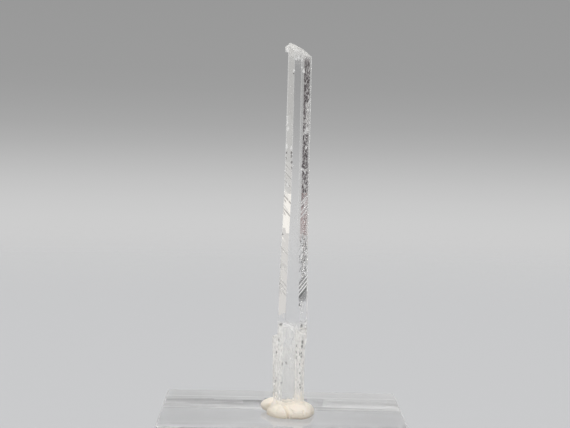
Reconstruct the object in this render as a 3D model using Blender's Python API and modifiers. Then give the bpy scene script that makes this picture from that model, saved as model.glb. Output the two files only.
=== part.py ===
"""Nifontovite crystal on a display block.

A slender clear prism of nifontovite stands upright in a pad of cream mineral putty, which is pressed
onto the middle of a clear acrylic block. The origin is the middle of the block's underside, +Z is up
and the crystal's widest prism face looks along -Y. Lengths are in metres.
"""

import math

import bmesh
import bpy
from mathutils import Vector

MM = 0.001

# Driving dimensions ------------------------------------------------------------------------------

BLOCK_SIDE = 25.4 * MM  # an inch square
BLOCK_HEIGHT = 12.7 * MM  # half an inch
BLOCK_EDGE = 0.2 * MM  # polished edge

GAP = 0.2 * MM  # left between pieces that touch

PUTTY_BOTTOM = BLOCK_HEIGHT + GAP
PUTTY_FLOOR = 0.2 * MM  # putty left under the crystal
CRYSTAL_BOTTOM = PUTTY_BOTTOM + PUTTY_FLOOR + GAP
CRYSTAL_TOP = 52.0 * MM  # before the end is broken off

# The prism's flat front and back faces, and how far back each side edge lies.
FRONT = -1.50 * MM
BACK = 0.30 * MM
RIGHT_BEVEL_BACK = -0.73 * MM
RIGHT_EDGE_BACK = -0.30 * MM
LEFT_EDGE_FRONT = -0.63 * MM
LEFT_EDGE_BACK = -0.42 * MM

# Growth ledges run round the sides in a V: this much higher at the side edges than at the front.
LEDGE_RISE = 1.0 * MM
LEDGE_RISER = 0.07 * MM  # height of one ledge's steep part

# The broken end slopes down to the right and the front, and more steeply to the right.
END_HEIGHT = 50.93 * MM  # over the origin
END_SLOPE_X = -0.34
END_SLOPE_Y = 0.55
END_CURVE = -0.085 / MM

# Stations up the prism, in millimetres: height, then the places in x of the left edge, the front
# face's left and right edges, the right bevel's outer edge, the right edge, and the back face's
# left and right edges.
STATIONS = (
    (13.0, -0.70, 0.08, 1.38, 1.98, 2.11, -0.30, 1.10),
    (19.0, -0.76, 0.10, 1.40, 2.00, 2.14, -0.26, 1.12),
    (19.3, -0.76, 0.10, 1.42, 2.20, 2.33, -0.26, 1.12),
    (24.2, -0.68, 0.14, 1.43, 2.20, 2.33, -0.22, 1.14),
    (26.4, -0.58, 0.20, 1.43, 2.18, 2.33, -0.14, 1.14),
    (30.4, -0.49, 0.27, 1.44, 2.16, 2.33, -0.08, 1.16),
    (35.2, -0.28, 0.43, 1.50, 2.07, 2.26, 0.00, 1.20),
    (38.5, -0.25, 0.45, 1.52, 2.06, 2.26, 0.02, 1.21),
    (45.6, -0.19, 0.46, 1.51, 2.05, 2.24, 0.05, 1.22),
    (52.0, -0.17, 0.46, 1.50, 2.04, 2.21, 0.05, 1.22),
)

# Zones of growth ledges, in millimetres: lower and upper height at the front face, the number of
# ledges, and how far each one stands out on the left and on the right.
LEDGE_ZONES = (
    (24.3, 26.4, 6, 0.035, 0.045),
    (27.9, 30.4, 5, 0.020, 0.015),
    (31.6, 35.6, 8, 0.030, 0.030),
)


# Helpers -----------------------------------------------------------------------------------------


def clear_scene():
    """Remove everything that the file starts with."""
    for obj in list(bpy.data.objects):
        bpy.data.objects.remove(obj)


def collection(name):
    """A new collection in the scene."""
    group = bpy.data.collections.new(name)
    bpy.context.scene.collection.children.link(group)
    return group


def material(name, color, roughness, transmission=0.0, ior=1.45):
    """A Principled material."""
    made = bpy.data.materials.new(name)
    made.use_nodes = True
    shader = made.node_tree.nodes["Principled BSDF"]
    shader.inputs["Base Color"].default_value = (*color, 1.0)
    shader.inputs["Roughness"].default_value = roughness
    shader.inputs["Metallic"].default_value = 0.0
    shader.inputs["Transmission Weight"].default_value = transmission
    shader.inputs["IOR"].default_value = ior
    made.diffuse_color = (*color, 1.0)
    return made


def mesh_object(name, bm, group):
    """The bmesh as an object, with its faces turned out."""
    bmesh.ops.recalc_face_normals(bm, faces=bm.faces)
    mesh = bpy.data.meshes.new(name)
    bm.to_mesh(mesh)
    bm.free()
    obj = bpy.data.objects.new(name, mesh)
    group.objects.link(obj)
    return obj


def boolean(obj, other, operation):
    """Join OTHER to OBJ, or cut it away, with a modifier; OTHER becomes a hidden guide."""
    modifier = obj.modifiers.new(other.name, "BOOLEAN")
    modifier.operation = operation
    modifier.object = other
    modifier.solver = "EXACT"
    other.hide_render = True
    other.display_type = "WIRE"


def loft(name, rings, group):
    """A closed skin over RINGS, each a list of the same number of points, capped at both ends."""
    bm = bmesh.new()
    loops = [[bm.verts.new(point) for point in ring] for ring in rings]
    count = len(rings[0])
    for lower, upper in zip(loops, loops[1:]):
        for i in range(count):
            j = (i + 1) % count
            bm.faces.new((lower[i], lower[j], upper[j], upper[i]))
    bm.faces.new(reversed(loops[0]))
    bm.faces.new(loops[-1])
    return mesh_object(name, bm, group)


def prism(name, outline, bottom, top, group, top_slope=(0.0, 0.0), foot_shift=0.0):
    """A column whose top is OUTLINE (x, y in metres), sloping in x and y; its foot may be shifted."""
    sx, sy = top_slope
    cx = sum(x for x, y in outline) / len(outline)
    cy = sum(y for x, y in outline) / len(outline)
    lower = [(x + foot_shift, y, bottom) for x, y in outline]
    upper = [(x, y, top + sx * (x - cx) + sy * (y - cy)) for x, y in outline]
    return loft(name, (lower, upper), group)


# The block ---------------------------------------------------------------------------------------


def acrylic_block(group):
    """A plain square block with narrow polished edges."""
    bm = bmesh.new()
    bmesh.ops.create_cube(bm, size=1.0)
    bmesh.ops.scale(bm, vec=(BLOCK_SIDE, BLOCK_SIDE, BLOCK_HEIGHT), verts=bm.verts)
    bmesh.ops.translate(bm, vec=(0.0, 0.0, BLOCK_HEIGHT / 2), verts=bm.verts)
    block = mesh_object("acrylic_block", bm, group)
    edge = block.modifiers.new("polished_edges", "BEVEL")
    edge.width = BLOCK_EDGE
    edge.segments = 2
    block.data.materials.append(material("clear_acrylic", (0.95, 0.96, 0.97), 0.02, 1.0, 1.49))
    return block


# The crystal -------------------------------------------------------------------------------------


def places_at(height):
    """The prism's seven places in x at a height, in millimetres, between the stations."""
    for lower, upper in zip(STATIONS, STATIONS[1:]):
        if height <= upper[0]:
            share = max(0.0, (height - lower[0]) / (upper[0] - lower[0]))
            return [a + share * (b - a) for a, b in zip(lower[1:], upper[1:])]
    return list(STATIONS[-1][1:])


def prism_ring(height, out_left=0.0, out_right=0.0):
    """One ring of the prism, in metres: HEIGHT is that of its front edges, in millimetres.

    The side edges are higher by LEDGE_RISE, so each ring is a V seen from either side. The sides
    stand out by OUT_LEFT and OUT_RIGHT millimetres past the stations.
    """
    left, front_left, front_right, bevel, right, back_left, back_right = places_at(height)
    low = height * MM
    high = low + LEDGE_RISE
    return [
        (front_left * MM, FRONT, low),
        (front_right * MM, FRONT, low),
        ((bevel + out_right) * MM, RIGHT_BEVEL_BACK, high - 0.2 * LEDGE_RISE),
        ((right + out_right) * MM, RIGHT_EDGE_BACK, high),
        (back_right * MM, BACK, low),
        (back_left * MM, BACK, low),
        ((left - out_left) * MM, LEFT_EDGE_BACK, high),
        ((left - out_left) * MM, LEFT_EDGE_FRONT, high),
    ]


def prism_rings():
    """All the rings of the prism from the bottom up, with two for each growth ledge."""
    rings = []
    bottom = CRYSTAL_BOTTOM / MM
    flat = prism_ring(bottom)
    rings.append([(x, y, CRYSTAL_BOTTOM) for x, y, z in flat])
    plain = [station[0] for station in STATIONS[1:-1]]
    stops = [(height, None) for height in plain]
    for low, high, count, out_left, out_right in LEDGE_ZONES:
        stops = [stop for stop in stops if not low - 0.2 < stop[0] < high + 0.2]
        pitch = (high - low) / count
        for step in range(count):
            wobble = 0.25 * pitch * math.sin(2.4 * step + low)
            stops.append((low + (step + 0.5) * pitch + wobble, (out_left, out_right)))
    for height, ledge in sorted(stops):
        if ledge is None:
            rings.append(prism_ring(height))
            continue
        out_left, out_right = ledge
        rings.append(prism_ring(height, out_left, out_right))
        rings.append(prism_ring(height + LEDGE_RISER / MM))
    flat = prism_ring(CRYSTAL_TOP / MM)
    rings.append([(x, y, CRYSTAL_TOP + LEDGE_RISE) for x, y, z in flat])
    return rings


def foot_columns(group):
    """The small parallel crystals grown onto the foot, one on each side, and a slab in front."""
    low = CRYSTAL_BOTTOM
    left = prism(
        "left_column",
        [(x * MM, y * MM) for x, y in ((-0.36, -1.44), (0.24, -1.10), (0.04, -0.50), (-0.74, -0.16),
                                       (-1.08, -0.52), (-1.04, -1.04))],
        low, 21.0 * MM, group, (0.35, -0.25), foot_shift=0.22 * MM,
    )
    right = prism(
        "right_column",
        [(x * MM, y * MM) for x, y in ((1.27, -1.66), (1.78, -1.60), (2.12, -1.06), (2.06, -0.60),
                                       (1.30, -0.70))],
        low, 21.45 * MM, group, (-0.55, 0.20),
    )
    return left, right


def front_slab(group):
    """An overgrowth on the front face, wrapped onto the left bevel, whose top is a broken arch."""
    left, right = -0.50 * MM, 1.02 * MM
    crown_share = 0.38  # where the arch is highest, from its left end
    crown = 22.42 * MM
    fall_left, fall_right = 0.22 * MM, 0.75 * MM
    thick_top, thick_foot = 0.06 * MM, 0.16 * MM
    crease, fold = -0.02 * MM, 0.55  # left of the crease the face turns back
    steps = 10
    arch = []
    for step in range(steps + 1):
        share = step / steps
        reach, fall = (crown_share, fall_left) if share < crown_share else (1 - crown_share, fall_right)
        arch.append((left + share * (right - left), crown - fall * ((share - crown_share) / reach) ** 2))
    outline = arch + [(right, CRYSTAL_BOTTOM), (left, CRYSTAL_BOTTOM)]
    rings = [[(x, y, z) for x, z in outline] for y in (FRONT, FRONT + 0.35 * MM)]
    slab = loft("front_slab", rings, group)
    bm = bmesh.new()
    bm.from_mesh(slab.data)
    everything = list(bm.verts) + list(bm.edges) + list(bm.faces)
    bmesh.ops.bisect_plane(bm, geom=everything, plane_co=(crease, 0.0, 0.0), plane_no=(1.0, 0.0, 0.0))
    for vert in bm.verts:
        share = (crown - vert.co.z) / (crown - CRYSTAL_BOTTOM)
        vert.co.y += fold * max(0.0, crease - vert.co.x) - thick_top - share * (thick_foot - thick_top)
    bm.to_mesh(slab.data)
    bm.free()
    return slab


def end_nub(group):
    """The small knob that overhangs the left edge just under the tip."""
    return prism(
        "end_nub",
        [(x * MM, y * MM) for x, y in ((-0.36, -0.78), (0.10, -0.80), (0.14, -0.24), (-0.40, -0.30),
                                       (-0.47, -0.52))],
        50.08 * MM, 50.72 * MM, group, (0.3, -0.2),
    )


def end_cutter(group):
    """What is broken off the top: its underside is the oblique end, with shallow steps and pits."""
    bm = bmesh.new()
    bmesh.ops.create_grid(bm, x_segments=15, y_segments=13, size=0.5)
    middle = Vector((1.0 * MM, -0.6 * MM))
    for vert in bm.verts:
        x = middle.x + vert.co.x * 3.8 * MM
        y = middle.y + vert.co.y * 3.0 * MM
        slope = END_HEIGHT + END_SLOPE_X * x + END_CURVE * x ** 2 + END_SLOPE_Y * y
        ripple = 0.03 * math.sin(3.1 * x / MM + 2.2 * y / MM) + 0.02 * math.sin(7.3 * x / MM - 5.1 * y / MM)
        pits = 0.06 * max(0.0, math.sin(9.0 * x / MM) * math.sin(8.0 * y / MM + 1.0)) ** 2
        vert.co = (x, y, slope + (ripple - pits) * MM)
    top = bmesh.ops.extrude_face_region(bm, geom=list(bm.faces))
    raised = [item for item in top["geom"] if isinstance(item, bmesh.types.BMVert)]
    for vert in raised:
        vert.co.z = CRYSTAL_TOP + 3.0 * MM
    return mesh_object("end_cutter", bm, group)


def pit_cutters(group):
    """Etch pits down the right column and a few chips on the edges, as one cutter."""
    pits = [
        (1.86, -1.56, 20.6, 0.10), (1.80, -1.60, 19.9, 0.13), (1.68, -1.64, 18.9, 0.12),
        (1.62, -1.66, 18.3, 0.15), (1.74, -1.62, 17.4, 0.10), (1.66, -1.64, 16.2, 0.13),
        (1.62, -1.66, 15.2, 0.12), (0.46, -1.52, 48.02, 0.08), (1.50, -1.52, 48.10, 0.08),
    ]
    bm = bmesh.new()
    for x, y, z, radius in pits:
        made = bmesh.ops.create_icosphere(bm, subdivisions=1, radius=radius * MM)
        bmesh.ops.translate(bm, vec=(x * MM, y * MM, z * MM), verts=made["verts"])
    return mesh_object("pit_cutters", bm, group)


def nifontovite_crystal(group, guides):
    """The prism with all that has grown onto it, as one solid."""
    crystal = loft("nifontovite_crystal", prism_rings(), group)
    for grown in (*foot_columns(guides), front_slab(guides), end_nub(guides)):
        boolean(crystal, grown, "UNION")
    for cutter in (end_cutter(guides), pit_cutters(guides)):
        boolean(crystal, cutter, "DIFFERENCE")
    crystal.data.materials.append(material("clear_crystal", (0.98, 0.98, 0.98), 0.03, 1.0, 1.578))
    return crystal


# The putty ---------------------------------------------------------------------------------------

# Lobes, in millimetres: middle in x and y, half-lengths along and across, height over the block,
# and the turn of the long direction from +X in degrees.
LOBES = (
    (-0.30, -1.25, 2.05, 1.30, 1.38, -56.0),
    (1.85, -0.85, 2.50, 1.35, 1.50, 68.0),
    (-0.80, 1.20, 1.50, 1.35, 1.42, 20.0),
    (1.20, 1.25, 1.85, 1.50, 1.46, 0.0),
    (1.66, -1.50, 1.05, 1.00, 2.00, 12.0),
)


def lobe(index, spec, group):
    """One pressed lobe: a flattened ball that reaches a little under the putty's foot."""
    x, y, along, across, height, turn = spec
    half_height = 0.62 * height * MM
    bm = bmesh.new()
    bmesh.ops.create_uvsphere(bm, u_segments=20, v_segments=12, radius=1.0)
    angle = math.radians(turn)
    for vert in bm.verts:
        px, py, pz = vert.co
        px, py, pz = px * along * MM, py * across * MM, pz * half_height
        vert.co = (
            x * MM + px * math.cos(angle) - py * math.sin(angle),
            y * MM + px * math.sin(angle) + py * math.cos(angle),
            BLOCK_HEIGHT + height * MM - half_height + pz,
        )
    made = mesh_object(f"lobe_{index}", bm, group)
    made.data.shade_smooth()
    return made


def socket_cutter(group):
    """The hole that the crystal's foot stands in, GAP wider than the foot all round."""
    outline = [(-0.20, -1.66), (1.80, -1.70), (2.15, -1.06), (2.13, -0.30), (1.10, 0.30),
               (-0.30, 0.30), (-0.74, -0.40), (-0.88, -0.52), (-0.84, -1.04)]
    middle = Vector((0.75 * MM, -0.70 * MM))
    widened = []
    for x, y in outline:
        out = Vector((x * MM, y * MM)) - middle
        widened.append(tuple(middle + out * (1.0 + 1.35 * GAP / out.length)))
    return prism("socket_cutter", widened, CRYSTAL_BOTTOM - GAP, BLOCK_HEIGHT + 4.0 * MM, group)


def mounting_putty(group, guides):
    """Four lobes pressed together round the crystal's foot, flat underneath."""
    putty = lobe(0, LOBES[0], group)
    putty.name = "mounting_putty"
    for index, spec in enumerate(LOBES[1:], start=1):
        boolean(putty, lobe(index, spec, guides), "UNION")
    bm = bmesh.new()
    bmesh.ops.create_cube(bm, size=12.0 * MM)
    bmesh.ops.translate(bm, vec=(0.0, 0.0, PUTTY_BOTTOM - 6.0 * MM), verts=bm.verts)
    boolean(putty, mesh_object("putty_trim", bm, guides), "DIFFERENCE")
    boolean(putty, socket_cutter(guides), "DIFFERENCE")
    putty.data.materials.append(material("cream_putty", (0.84, 0.77, 0.64), 0.75))
    return putty


def main():
    clear_scene()
    specimen = collection("nifontovite_on_block")
    guides = collection("cutters_and_guides")
    acrylic_block(specimen)
    mounting_putty(specimen, guides)
    nifontovite_crystal(specimen, guides)


main()
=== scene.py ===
"""A clear nifontovite crystal, stood in cream putty on a clear acrylic block, in a plain grey studio."""

import math
from types import SimpleNamespace as Group

import bmesh
import bpy
from mathutils import Euler, Matrix, Vector, noise


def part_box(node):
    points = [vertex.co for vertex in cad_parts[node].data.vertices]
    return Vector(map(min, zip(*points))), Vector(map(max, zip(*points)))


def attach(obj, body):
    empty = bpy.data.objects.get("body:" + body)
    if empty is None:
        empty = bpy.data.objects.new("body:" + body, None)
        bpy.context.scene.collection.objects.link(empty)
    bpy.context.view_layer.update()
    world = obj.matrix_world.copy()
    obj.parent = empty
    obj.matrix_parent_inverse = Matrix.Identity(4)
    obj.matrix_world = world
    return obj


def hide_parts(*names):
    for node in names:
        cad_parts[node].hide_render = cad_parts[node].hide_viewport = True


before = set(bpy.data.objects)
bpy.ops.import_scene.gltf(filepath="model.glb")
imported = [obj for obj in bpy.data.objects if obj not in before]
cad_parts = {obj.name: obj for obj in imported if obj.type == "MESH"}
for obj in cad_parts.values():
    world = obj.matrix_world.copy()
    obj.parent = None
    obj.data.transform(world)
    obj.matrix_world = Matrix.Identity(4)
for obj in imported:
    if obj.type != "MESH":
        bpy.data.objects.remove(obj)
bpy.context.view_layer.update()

MM = 0.001

# Camera -------------------------------

PICTURE_WIDTH = 570  # pixels
FOCAL_PIXELS = 1508.0
CAMERA_PLACE = Vector((-1.82, -154.77, 44.39)) * MM
CAMERA_PAN = math.radians(-0.62)
CAMERA_TILT = math.radians(4.02)  # downwards
CAMERA_ROLL = math.radians(1.28)
SENSOR = 36.0  # mm
NEAREST_SEEN = 10 * MM
FARTHEST_SEEN = 10.0

# Studio -------------------------------

FLOOR_DROP = 0.02 * MM  # the floor lies this much under the block
FLOOR_RADIUS = 420 * MM
FLOOR_FADE = 150 * MM  # from here out the floor melts into the backdrop
FLOOR_COLOR = (0.545, 0.549, 0.558, 1.0)

# The soft room's brightness by height over the horizon, in degrees.
BACKDROP = (
    (-90, 0.55), (-12, 0.575), (-5.2, 0.615), (-3.9, 0.605), (-2.6, 0.532), (-1.5, 0.440),
    (-0.5, 0.378), (1.0, 0.333), (5.0, 0.312), (10, 0.47), (16, 0.52), (30, 0.55), (46, 1.16), (90, 1.60),
)

# Where the cards stand, in degrees: azimuth from straight behind the object, and width.
LEFT, SIDE, RIGHT = (-33, 20), (-115, 20), (36, 14)
FRONT_LEFT, FRONT_RIGHT = (190, 20), (170, 20)
CARD_DISTANCE = 390 * MM
CARD_STEP = 1 * MM  # cards on one side stand this far in front of each other
CARD_SINK = -1 * MM  # how far a low card reaches past the floor
FLAG_TOP = 300 * MM
FRONT_CARD = (130 * MM, 900 * MM)  # its low and high edge
FLOOR_SHEET_LIFT = 0.1 * MM
BACK_SHEET_DISTANCE = 40 * MM
BACK_SHEET_BLUE = 0.993  # the blue part of a small sheet's grey
BLACK = (0.150, 0.132, 0.138)
UMBER = (0.46, 0.41, 0.405)
WHITE = (1.0, 0.965, 0.905)

SOFTBOX_SIZE = (0.60, 0.40)
SOFTBOX_PLACE = (-0.26, -0.78, 0.42)
SOFTBOX_AIM = (0, 0, 0.03)
SOFTBOX_POWER = 1.9  # watts
LIGHT_BOUNCES = 48

# Small sheets behind the block, in millimetres: left, right, low and high edge, and brightness.
BACK_SHEETS = (
    ("low_right_sheet", -2.0, 18.0, 0.0, 13.1, 0.578),
    ("low_left_sheet", -18.0, -2.0, 0.0, 13.2, 0.540),
    ("light_left_sheet", -18.0, -9.0, 13.2, 13.5, 0.660),
    ("light_middle_sheet", -9.0, -2.0, 13.2, 14.0, 0.640),
    ("dark_left_sheet", -18.0, -9.0, 13.5, 15.4, 0.450),
    ("dark_middle_sheet", -9.0, -5.0, 14.0, 15.4, 0.460),
    ("middle_sheet", 3.9, 6.2, 13.1, 16.6, 0.500),
    ("right_sheet", 6.2, 18.0, 13.1, 16.6, 0.640),
    ("high_right_sheet", 6.2, 18.0, 16.6, 19.0, 0.420),
)

# The crystal --------------------------

CRYSTAL_BOTTOM = 13.30 * MM
CRYSTAL_TOP = 52.0 * MM  # before the end is broken off
FRONT = -1.50 * MM
BACK = 0.30 * MM
RIGHT_BEVEL_BACK = -0.73 * MM
RIGHT_EDGE_BACK = -0.30 * MM
LEFT_EDGE_FRONT = -0.63 * MM
LEFT_EDGE_BACK = -0.42 * MM
LEDGE_RISE = 1.0 * MM  # a ledge is this much higher at the side edges than at the front
EDGE_SOFTENING = 0.022 * MM
SLAB_CROWN = 22.42  # mm over the origin, the highest point of the overgrowth on the front
NUB_BOTTOM = 50.08 * MM
CRYSTAL_IOR = 1.578

# Stations up the prism, in millimetres: height, then the places in x of the left edge, the front
# face's left and right edges, the right bevel's outer edge, the right edge, and the back face's
# left and right edges.
STATIONS = (
    (13.0, -0.70, 0.08, 1.38, 1.98, 2.11, -0.30, 1.10),
    (19.0, -0.64, 0.10, 1.40, 2.00, 2.14, -0.26, 1.12),
    (19.3, -0.64, 0.10, 1.42, 2.25, 2.39, -0.26, 1.12),
    (24.2, -0.63, 0.14, 1.46, 2.24, 2.37, -0.22, 1.14),
    (26.4, -0.58, 0.20, 1.44, 2.20, 2.33, -0.14, 1.14),
    (30.4, -0.49, 0.27, 1.38, 2.14, 2.29, -0.08, 1.16),
    (35.2, -0.28, 0.43, 1.47, 2.03, 2.24, 0.00, 1.18),
    (38.5, -0.25, 0.45, 1.49, 2.03, 2.24, 0.01, 1.20),
    (45.6, -0.19, 0.46, 1.48, 2.06, 2.25, -0.02, 1.22),
    (52.0, -0.17, 0.46, 1.48, 2.05, 2.22, -0.05, 1.22),
)

# The small parallel crystals on the foot, in millimetres: outline in plan, height at the top's middle,
# the top's slopes in x and y, and how far the foot is shifted in x.
COLUMNS = {
    "left_column": (
        ((-0.36, -1.44), (0.24, -1.10), (0.04, -0.50), (-0.80, -0.16), (-1.17, -0.52), (-1.13, -1.04)),
        21.15, (0.35, -0.25), 0.22,
    ),
    "left_needle": (
        ((-0.42, -1.50), (-0.24, -1.56), (-0.12, -1.40), (-0.30, -1.22), (-0.46, -1.30)),
        20.55, (-0.9, 0.1), 0.02,
    ),
    "right_column": (
        ((1.27, -1.66), (1.84, -1.60), (2.21, -1.06), (2.15, -0.60), (1.30, -0.70)),
        21.45, (-0.55, 0.20), 0.0,
    ),
}

# A stub of another one beside the broken end, as above.
NUB = (
    ((-0.36, -0.78), (0.10, -0.80), (0.14, -0.24), (-0.40, -0.30), (-0.47, -0.52)),
    50.72, (0.3, -0.2), 0.04,
)

# Growth ledges, in millimetres: height at the front face of the ledge's lip, how far below it the
# ledge starts to stand out, and how far it stands out.
LEFT_LEDGES = (
    (25.30, 0.13, 0.010), (25.78, 0.14, 0.010), (26.24, 0.13, 0.010), (27.66, 0.08, 0.006),
    (27.90, 0.08, 0.006), (28.12, 0.08, 0.006), (29.50, 0.10, 0.008), (33.62, 0.12, 0.020),
    (34.86, 0.10, 0.018), (35.12, 0.10, 0.016), (36.10, 0.30, 0.014),
)
RIGHT_LEDGES = (
    (24.82, 0.32, 0.056), (25.12, 0.28, 0.050), (25.42, 0.28, 0.050), (25.88, 0.24, 0.044),
    (26.34, 0.24, 0.044), (26.78, 0.20, 0.036), (27.20, 0.12, 0.020), (28.70, 0.12, 0.012),
    (29.30, 0.10, 0.014), (30.35, 0.12, 0.012), (32.60, 0.12, 0.018), (33.30, 0.14, 0.026),
    (33.60, 0.12, 0.024), (34.60, 0.12, 0.024), (34.90, 0.14, 0.026), (36.30, 0.12, 0.014),
    (37.50, 0.14, 0.020),
)
LEDGE_RISER = 0.02  # mm, the height in which a ledge falls back over its lip

# Heights at the front face, in millimetres, of the painted light and dark lines along the ledges.
LEFT_LINES = (25.36, 25.84, 26.30, 27.72, 27.96, 28.18, 29.56, 36.45, 37.30, 38.10)
LEFT_SHADED_LINES = (33.40, 34.70)
RIGHT_LINES = (25.37, 25.78, 26.24, 33.29, 33.80, 34.50, 34.80)

# Bruises that show white, in millimetres: middle in x, y and z, and radius. They are twice as tall.
BRUISES = (
    (0.43, -1.50, 48.14, 0.09), (1.41, -1.50, 48.16, 0.10), (1.22, -1.50, 48.50, 0.06),
    (0.60, -1.50, 49.35, 0.08), (0.86, -1.50, 49.50, 0.10), (1.20, -1.50, 49.28, 0.06),
    (-0.15, -0.63, 43.40, 0.10), (-0.14, -0.63, 42.95, 0.10), (-0.06, -0.72, 42.30, 0.10),
    (-0.16, -0.63, 40.48, 0.13), (0.33, -1.40, 40.35, 0.09), (2.04, -0.80, 45.05, 0.08),
    (1.94, -0.86, 44.20, 0.07), (1.90, -0.95, 42.26, 0.12), (1.74, -1.14, 41.95, 0.09),
    (1.84, -1.00, 40.42, 0.09), (1.36, -1.50, 38.26, 0.06), (1.50, -1.48, 38.24, 0.05),
    (1.62, -1.36, 38.16, 0.06), (1.72, -1.26, 38.00, 0.06), (1.80, -1.14, 37.84, 0.06),
    (1.82, -1.06, 36.50, 0.08), (1.60, -1.36, 36.95, 0.06), (0.02, -0.96, 36.60, 0.08),
    (1.66, -1.36, 30.05, 0.10), (1.70, -1.34, 29.40, 0.08), (2.30, -0.50, 20.45, 0.13),
    (1.62, -1.66, 18.95, 0.06), (1.66, -1.66, 17.55, 0.07), (-0.92, -1.10, 20.60, 0.10),
    (-0.62, -1.28, 20.40, 0.10), (-0.90, -1.14, 16.00, 0.06),
)

# Etched pits, each painted dark as shade, as above.
SHADED_HOLLOWS = (
    (0.40, -1.50, 47.90, 0.06), (-0.15, -0.64, 39.80, 0.06), (-0.13, -0.67, 39.30, 0.05),
    (0.36, -1.48, 39.85, 0.07), (0.38, -1.48, 39.52, 0.06), (0.41, -1.50, 38.90, 0.06),
    (0.38, -1.50, 38.30, 0.05), (1.50, -1.48, 38.48, 0.08), (1.54, -1.45, 24.30, 0.08),
    (-0.33, -0.75, 31.52, 0.055), (1.79, -1.60, 22.14, 0.10), (1.83, -1.60, 21.80, 0.06),
    (1.93, -1.60, 20.51, 0.09), (1.88, -1.65, 20.06, 0.08), (1.84, -1.65, 19.34, 0.06),
    (1.68, -1.65, 19.26, 0.06), (1.82, -1.65, 19.02, 0.06), (1.69, -1.65, 18.20, 0.05),
    (1.75, -1.65, 17.26, 0.06), (1.73, -1.65, 16.10, 0.05), (1.80, -1.65, 15.80, 0.05),
    (-0.73, -1.20, 16.37, 0.07), (-0.13, -1.55, 16.28, 0.07),
    (-0.72, -1.20, 19.33, 0.06), (-0.11, -1.60, 18.22, 0.07), (0.28, -1.60, 18.32, 0.06),
    (-0.52, -1.30, 20.62, 0.06), (-0.43, -1.40, 22.38, 0.06), (-0.36, -1.40, 22.22, 0.06),
    (-0.27, -1.40, 22.28, 0.06), (1.30, -1.66, 20.10, 0.05), (1.30, -1.66, 19.50, 0.05),
    (1.30, -1.66, 18.90, 0.05),
)

# The broken end slopes down to the right and the front, and more steeply to the right.
END_HEIGHT = 50.94  # mm over the origin
END_SLOPE_X = -0.34
END_SLOPE_Y = 0.36
END_CURVE = -0.085

# Nicks and pits, in millimetres: middle in x, y and z, half-lengths in x, y and z, turn in degrees.
NICKS = (
    (0.46, -1.53, 48.02, 0.09, 0.06, 0.11, 10), (1.50, -1.53, 48.10, 0.08, 0.06, 0.12, -10),
    (-0.19, -0.63, 43.60, 0.05, 0.07, 0.13, 0), (-0.20, -0.64, 43.05, 0.06, 0.07, 0.16, 8),
    (-0.24, -0.64, 40.40, 0.07, 0.08, 0.12, -12), (-0.21, -0.66, 39.75, 0.03, 0.05, 0.12, 6),
    (-0.20, -0.66, 39.40, 0.03, 0.05, 0.10, -6), (0.42, -1.52, 39.80, 0.03, 0.04, 0.14, 8),
    (0.45, -1.53, 39.35, 0.03, 0.04, 0.12, 0), (0.47, -1.52, 38.45, 0.02, 0.03, 0.30, 3),
    (1.50, -1.53, 38.25, 0.05, 0.05, 0.18, -32), (1.47, -1.53, 38.05, 0.05, 0.05, 0.12, 30),
    (2.02, -0.78, 42.15, 0.06, 0.05, 0.10, 0), (1.98, -0.82, 40.40, 0.05, 0.05, 0.12, 10),
    (-0.50, -0.66, 31.50, 0.06, 0.07, 0.07, 0), (1.60, -1.34, 24.25, 0.08, 0.07, 0.07, 0),
    (1.86, -1.56, 20.60, 0.08, 0.06, 0.13, 0), (1.78, -1.62, 19.90, 0.09, 0.07, 0.17, 10),
    (1.68, -1.65, 18.90, 0.09, 0.06, 0.13, 0), (1.60, -1.67, 18.30, 0.10, 0.07, 0.17, -14),
    (1.74, -1.63, 17.40, 0.08, 0.06, 0.12, 0), (1.66, -1.65, 16.20, 0.09, 0.06, 0.14, 12),
    (1.62, -1.67, 15.20, 0.08, 0.06, 0.15, 0), (1.76, -1.63, 14.40, 0.07, 0.05, 0.10, 0),
    (1.82, -1.54, 22.00, 0.06, 0.05, 0.07, 0), (-0.84, -1.22, 16.30, 0.07, 0.06, 0.07, 0),
    (-0.28, -1.45, 16.20, 0.06, 0.06, 0.07, 0), (-0.20, -1.50, 18.10, 0.07, 0.05, 0.05, 0),
    (-0.44, -1.34, 22.26, 0.09, 0.08, 0.10, 25), (0.60, -1.58, 18.70, 0.10, 0.03, 0.05, 0),
)

# The putty and the block --------------

BLOCK_TOP = 12.7 * MM
BLOCK_MIDDLE = 6.35  # mm over the origin
BLOCK_EDGE_WIDTH = 0.22 * MM
ACRYLIC_IOR = 1.49
PUTTY_SEAT = 12.68 * MM  # the putty wets the block's top
PUTTY_GRID = 0.06 * MM  # the size of the cells that the lobes are melted together in
PUTTY_IOR = 1.45
SOCKET_TOP = 15.5 * MM
SOCKET_GROWTH = (1.012, 1.012, 1.0)
SOCKET_MIDDLE = (0.6 * MM, -0.7 * MM, 0)
SOCKET_DROP = 0.015 * MM

# The putty's lobes, in millimetres: middle in x and y, half-lengths along and across, height over
# the block, how far the widest part is over the block, and the turn of the long direction.
LOBES = (
    (-0.10, -1.46, 2.02, 1.28, 1.30, 0.20, -58),
    (1.84, -0.95, 2.35, 1.34, 1.48, 0.22, 68),
    (1.78, -2.10, 1.27, 1.28, 1.32, 0.34, 0),
    (-0.86, 1.45, 1.44, 1.18, 1.42, 0.62, 20),
    (1.20, 1.10, 1.80, 1.50, 1.44, 0.30, 0),
    (0.60, -0.80, 1.75, 1.60, 1.42, 0.30, 0),
    (1.72, -1.20, 0.66, 0.72, 1.85, 0.80, 20),
    (-0.72, -1.12, 0.56, 0.60, 1.66, 0.70, 10),
)

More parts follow.
